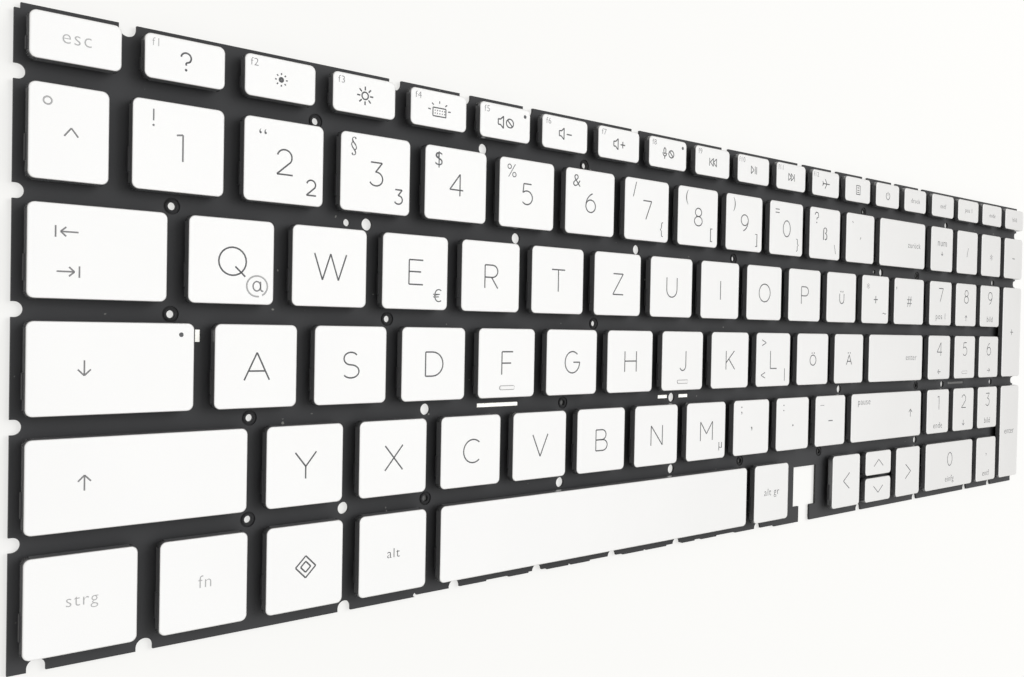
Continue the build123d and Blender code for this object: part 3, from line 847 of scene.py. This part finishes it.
homingBar = {
    "length": 4.0,
    "width": 0.8,
    "height": 0.2,
    "inset": 2.1,
    "round": 0.16,
    "roundSteps": 3,
    "endShare": 0.49,  # of the width, so that the ends come out round
    "endSteps": 5,
    "line": 0.09,  # painted shadow: a fine grey line where the bar meets the top
    "keys": ("f", "j", "pad5"),
}


def homingShape(key, grow, height, edge):
    bm = bmesh.new()
    long, wide = homingBar["length"] + 2 * grow, homingBar["width"] + 2 * grow
    bmesh.ops.create_cube(bm, size=1)
    bmesh.ops.scale(bm, vec=(long, wide, 2 * height), verts=bm.verts)
    roundEdges(bm, uprightEdges(bm, 2 * height), wide * homingBar["endShare"], homingBar["endSteps"])
    if edge:
        roundEdges(bm, list(topFace(bm).edges), edge, homingBar["roundSteps"], smooth=True)
    place = (key.x, key.y - key.depth / 2 + homingBar["inset"], capForm["top"])
    bmesh.ops.translate(bm, vec=place, verts=bm.verts)
    return shapeToMesh(bm)


# Dark tabs at the foot of the side walls, given as shares of the key's depth and in millimetres
sideTab = {
    "length": 0.28,
    "drop": 0.18,
    "out": 0.2,
    "below": 0.15,
    "height": 0.7,
    "round": 0.08,
    "roundSteps": 2,
}


def tabShape(key, side):
    bm = bmesh.new()
    bmesh.ops.create_cube(bm, size=1)
    span = (2 * sideTab["out"], sideTab["length"] * key.depth, sideTab["height"])
    bmesh.ops.scale(bm, vec=span, verts=bm.verts)
    roundEdges(bm, bm.edges[:], sideTab["round"], sideTab["roundSteps"])
    x = key.x + side * (key.width / 2 + capForm["flare"])
    z = capForm["skirtBottom"] - sideTab["below"] + sideTab["height"] / 2
    bmesh.ops.translate(bm, vec=(x, key.y - sideTab["drop"] * key.depth, z), verts=bm.verts)
    return shapeToMesh(bm)


def addCap(bm, key):
    joinShape(bm, capShape(key))
    if key.name in homingBar["keys"]:
        joinShape(bm, homingShape(key, 0, homingBar["height"], homingBar["round"]))
        # painted shadow line in pale ink round the foot of the bar
        joinShape(bm, homingShape(key, homingBar["line"], legendForm["rise"], 0), inkSlots["pale"])
    for side in (-1, 1):
        joinShape(bm, tabShape(key, side), tabSlot)
    addLegends(bm, key)


capFinishes = [silverPaint, legendInk, paleInk, faintInk, tabPlastic]
inkSlots = {"dark": 1, "pale": 2, "faint": 3}
tabSlot = 4
for key in movingKeys:
    bm = bmesh.new()
    addCap(bm, key)
    cap = finishPiece(f"cap_{key.name}", bm, capFinishes, f"key_{key.name}")
    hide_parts(f"key_{key.name}")
print("moving caps made:", len(movingKeys))

capGroups = {
    "caps_function_row": (functionKeys, "function_row_caps"),
    "caps_number_row": (numberKeys, "number_row_caps"),
    "caps_number_pad": (padKeys, "number_pad_caps"),
}
for pieceName, (keys, nodeName) in capGroups.items():
    bm = bmesh.new()
    for key in keys:
        addCap(bm, key)
    cap = finishPiece(pieceName, bm, capFinishes, "module")
    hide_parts(nodeName)
print("fixed caps made")

# Mechanism under each cap: two crossed frames, a dome and, under long caps, a wire
mechanism = {
    "floor": 0.95,
    "room": 2.4,
    "play": 0.12,
    "thick": 0.5,
    "bar": 0.8,
    "clear": 0.15,
    "full": {
        "length": 10.0,
        "inner": 7.6,
        "width": 10.2,
        "dome": ((0, 0), (2.8, 0), (2.8, 0.25), (1.5, 1.5), (1.5, 2.35), (0, 2.35)),
    },
    "half": {
        "length": 9.0,
        "inner": 6.6,
        "width": 5.4,
        "dome": ((0, 0), (1.7, 0), (1.7, 0.25), (0.7, 0.85), (0.7, 2.35), (0, 2.35)),
    },
    "domeSteps": 16,
    "wire": {
        "diameter": 0.6,
        "inset": 2.6,
        "back": 0.95,
        "reach": 7.2,
        "end": 2.0,
        "threshold": 25.0,
        "seat": 0.05,
    },
    "keep": 0.485,
}


def frameShape(length, width, slope):
    bm = bmesh.new()
    bar, thick = mechanism["bar"], mechanism["thick"]
    bmesh.ops.create_grid(bm, x_segments=3, y_segments=3, size=1.5)
    centre = min(bm.faces, key=lambda face: face.calc_center_median().length)
    for vert in bm.verts:
        inner = Vector((width / 2 - bar, length / 2 - bar))
        outer = Vector((width / 2, length / 2))
        vert.co.x = math.copysign(inner.x if abs(vert.co.x) < 1 else outer.x, vert.co.x)
        vert.co.y = math.copysign(inner.y if abs(vert.co.y) < 1 else outer.y, vert.co.y)
    bmesh.ops.delete(bm, geom=[centre], context="FACES_ONLY")
    made = bmesh.ops.extrude_face_region(bm, geom=list(bm.faces))["geom"]
    lifted = [item for item in made if isinstance(item, bmesh.types.BMVert)]
    bmesh.ops.translate(bm, vec=(0, 0, thick), verts=lifted)
    bmesh.ops.translate(bm, vec=(0, 0, -thick / 2), verts=bm.verts)
    bmesh.ops.recalc_face_normals(bm, faces=bm.faces)
    room = mechanism["room"] - thick - 2 * mechanism["play"]
    tilt = slope * math.asin(room / (length - bar))
    bmesh.ops.rotate(bm, cent=(0, 0, 0), matrix=Matrix.Rotation(tilt, 3, "X"), verts=bm.verts)
    bmesh.ops.translate(bm, vec=(0, 0, mechanism["room"] / 2), verts=bm.verts)
    return shapeToMesh(bm)


def domeShape(profile):
    bm = bmesh.new()
    verts = [bm.verts.new((x, 0, z)) for x, z in profile]
    for pair in zip(verts, verts[1:]):
        bm.edges.new(pair)
    spinRound(bm, mechanism["domeSteps"])
    for face in bm.faces:
        face.smooth = abs(face.normal.z) < 0.9
    return shapeToMesh(bm)


def wireShape(key):
    wire = mechanism["wire"]
    length, depth = max(key.width, key.depth), min(key.width, key.depth)
    half, rear = length / 2 - wire["inset"], depth / 2 - wire["back"]
    front = rear - wire["reach"]
    low = wire["diameter"] / 2 + wire["seat"]
    high = mechanism["room"] - low
    points = [(half - wire["end"], front, low), (half, front, low), (half, rear, high)]
    points += [(-x, y, z) for x, y, z in reversed(points)]
    mesh = tubeMesh([points], wire["diameter"] / 2, 2)
    if key.depth > key.width:
        mesh.transform(Matrix.Rotation(math.pi / 2, 4, "Z"))
    return mesh


def addMechanism(bm, key):
    isFull = key.depth > mechanism["full"]["length"]
    size = mechanism["full"] if isFull else mechanism["half"]
    innerWidth = size["width"] - 2 * (mechanism["bar"] + mechanism["clear"])
    place = Matrix.Translation((key.x, key.y, mechanism["floor"]))
    turned = place if isFull else place @ Matrix.Rotation(math.pi / 2, 4, "Z")
    parts = [(frameShape(size["length"], size["width"], 1), turned, 0)]
    parts.append((frameShape(size["inner"], innerWidth, -1), turned, 0))
    parts.append((domeShape(size["dome"]), place, 1))
    if max(key.width, key.depth) > mechanism["wire"]["threshold"]:
        parts.append((wireShape(key), place, 2))
    for mesh, where, materialIndex in parts:
        mesh.transform(where)
        joinShape(bm, mesh, materialIndex)


mechanismFinishes = [scissorPlastic, domeRubber, wireSteel]
mechanismNodes = ["scissor_outer_frames", "scissor_inner_frames", "rubber_domes", "stabiliser_wires"]
for key in movingKeys:
    bm = bmesh.new()
    addMechanism(bm, key)
    piece = finishPiece(f"mechanism_{key.name}", bm, mechanismFinishes, "module")
    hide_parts(*mechanismNodes)
    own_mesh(piece)
bm = bmesh.new()
for key in functionKeys + numberKeys + padKeys:
    addMechanism(bm, key)
piece = finishPiece("mechanism_fixed", bm, mechanismFinishes, "module")
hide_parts(*mechanismNodes)
print("mechanisms made")

# Turned lips on the embossed collars round the screw holes
collar = {"radius": 0.9, "tube": 0.1, "tubeSteps": 8, "z": 0.88, "steps": 24, "drop": 0.25}
screwColumns = {
    0: [2.61, 6.25, 12.56],
    1: [1.21, 9.19, 14.33],
    2: [1.21, 3.47, 6.46],
    3: [1.97, 5.97, 14.39],
    4: [1.97, 3.99, 9.44, 11.43],
}


def gapMiddle(row):
    return rowTop(row) + field["rowGap"] / 2


def collarShape(x, y):
    bm = bmesh.new()
    bmesh.ops.create_circle(bm, cap_ends=False, segments=collar["tubeSteps"], radius=collar["tube"])
    upright = Matrix.Rotation(math.pi / 2, 3, "X")
    bmesh.ops.rotate(bm, cent=(0, 0, 0), matrix=upright, verts=bm.verts)
    bmesh.ops.translate(bm, vec=(collar["radius"], 0, 0), verts=bm.verts)
    spinRound(bm, collar["steps"])
    for face in bm.faces:
        face.smooth = True
    bmesh.ops.translate(bm, vec=(x, y, collar["z"]), verts=bm.verts)
    return shapeToMesh(bm)


bm = bmesh.new()
for row, columns in screwColumns.items():
    for column in columns:
        place = (field["left"] + column * field["keyPitch"], gapMiddle(row) - collar["drop"])
        joinShape(bm, collarShape(*place))
finishPiece("screw_collars", bm, [scissorPlastic], "module")

# Strips of the light guide that show in the slots: long ones, a split one with a through hole between
# and a short one beside the caps lock key
strip = {
    "length": 11.0,
    "short": 3.3,
    "splitOff": 3.85,
    "width": 0.8,
    "bottom": 0.45,
    "top": 0.9,
    "lampLength": 2.1,
    "lampDrop": 2.1,
    "edge": 0.06,
    "edgeSteps": 2,
}


def stripShape(x, y, length, width):
    bm = bmesh.new()
    bmesh.ops.create_cube(bm, size=1)
    bmesh.ops.scale(bm, vec=(length, width, strip["top"] - strip["bottom"]), verts=bm.verts)
    roundEdges(bm, list(topFace(bm).edges), strip["edge"], strip["edgeSteps"])
    bmesh.ops.translate(bm, vec=(x, y, (strip["top"] + strip["bottom"]) / 2), verts=bm.verts)
    return shapeToMesh(bm)


bm = bmesh.new()
keysByName = {key.name: key for key in movingKeys + padKeys}
slotRuns = [("f", 0, strip["length"], 0), ("pad5", 0, strip["length"], 1)]
slotRuns += [("j", side * strip["splitOff"], strip["short"], 0) for side in (-1, 1)]
for name, off, length, materialIndex in slotRuns:
    key = keysByName[name]
    slotY = key.y - (key.depth + field["rowGap"]) / 2
    joinShape(bm, stripShape(key.x + off, slotY, length, strip["width"]), materialIndex)
capsLock = keysByName["caps_lock"]
lampX = capsLock.x + (capsLock.width + field["gap"]) / 2 - capForm["flare"]
joinShape(bm, stripShape(lampX, rowTop(2) - strip["lampDrop"], strip["width"], strip["lampLength"]))
finishPiece("guide_strips", bm, [stripFilm, maskAndShadeFilm], "module")
print("small parts made")
